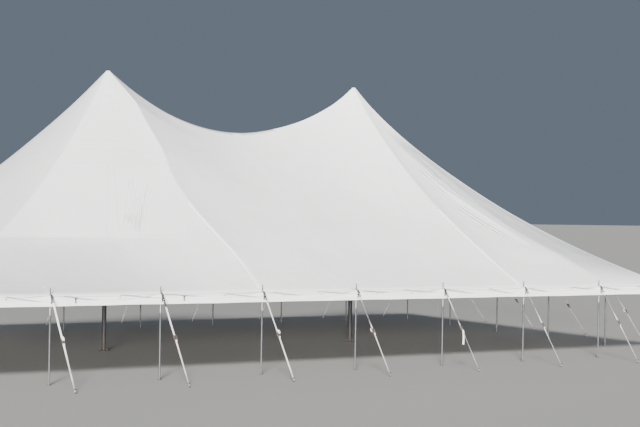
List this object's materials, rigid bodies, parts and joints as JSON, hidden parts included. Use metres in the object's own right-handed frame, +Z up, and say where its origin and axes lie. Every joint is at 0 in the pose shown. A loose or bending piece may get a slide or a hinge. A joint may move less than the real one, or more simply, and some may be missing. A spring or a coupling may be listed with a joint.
{
  "type": "pole-supported marquee tent",
  "caption": "Open-sided white pole marquee: a tensioned cloth top in laced halves rises from the eave to twin peaks on centre poles, held by side poles, ratchet straps and ground stakes",
  "frame": {"origin": "on the ground under the middle of the tent", "axes": "+X along the length to the right as seen from the front, -Y towards the pictured front, +Z up"},
  "size_m": [28.096, 18.952, 8.84],
  "materials": {
    "roof_vinyl": "white coated tent vinyl, satin, lightly creased",
    "valance_vinyl": "bright white coated tent vinyl, satin",
    "side_pole_metal": "dull silver tube, lightly scuffed",
    "centre_pole_metal": "dark weathered tube",
    "guy_webbing": "woven white strap webbing, matte",
    "fitting_steel": "zinc-plated steel, dull",
    "stake_steel": "bare forged steel, dirty",
    "lace_rope": "braided rope, off-white"
  },
  "bodies": {
    "root": {"left_half_top": "roof_vinyl", "right_half_top": "roof_vinyl", "left_half_valance": "valance_vinyl", "right_half_valance": "valance_vinyl", "left_centre_pole": "centre_pole_metal", "right_centre_pole": "centre_pole_metal", "front_1_pole": "side_pole_metal", "front_2_pole": "side_pole_metal", "front_3_pole": "side_pole_metal", "front_4_pole": "side_pole_metal", "front_5_pole": "side_pole_metal", "front_6_pole": "side_pole_metal", "front_7_pole": "side_pole_metal", "back_1_pole": "side_pole_metal", "back_2_pole": "side_pole_metal", "back_3_pole": "side_pole_metal", "back_4_pole": "side_pole_metal", "back_5_pole": "side_pole_metal", "back_6_pole": "side_pole_metal", "back_7_pole": "side_pole_metal", "left_1_pole": "side_pole_metal", "left_2_pole": "side_pole_metal", "left_3_pole": "side_pole_metal", "left_4_pole": "side_pole_metal", "right_1_pole": "side_pole_metal", "right_2_pole": "side_pole_metal", "right_3_pole": "side_pole_metal", "right_4_pole": "side_pole_metal", "front_left_corner_pole": "side_pole_metal", "front_right_corner_pole": "side_pole_metal", "back_right_corner_pole": "side_pole_metal", "back_left_corner_pole": "side_pole_metal", "front_1_guy": "guy_webbing", "front_2_guy": "guy_webbing", "front_3_guy": "guy_webbing", "front_4_guy": "guy_webbing", "front_5_guy": "guy_webbing", "front_6_guy": "guy_webbing", "front_7_guy": "guy_webbing", "back_1_guy": "guy_webbing", "back_2_guy": "guy_webbing", "back_3_guy": "guy_webbing", "back_4_guy": "guy_webbing", "back_5_guy": "guy_webbing", "back_6_guy": "guy_webbing", "back_7_guy": "guy_webbing", "left_1_guy": "guy_webbing", "left_2_guy": "guy_webbing", "left_3_guy": "guy_webbing", "left_4_guy": "guy_webbing", "right_1_guy": "guy_webbing", "right_2_guy": "guy_webbing", "right_3_guy": "guy_webbing", "right_4_guy": "guy_webbing", "front_left_corner_guy": "guy_webbing", "front_right_corner_guy": "guy_webbing", "back_right_corner_guy": "guy_webbing", "back_left_corner_guy": "guy_webbing"}
  },
  "joints": []
}
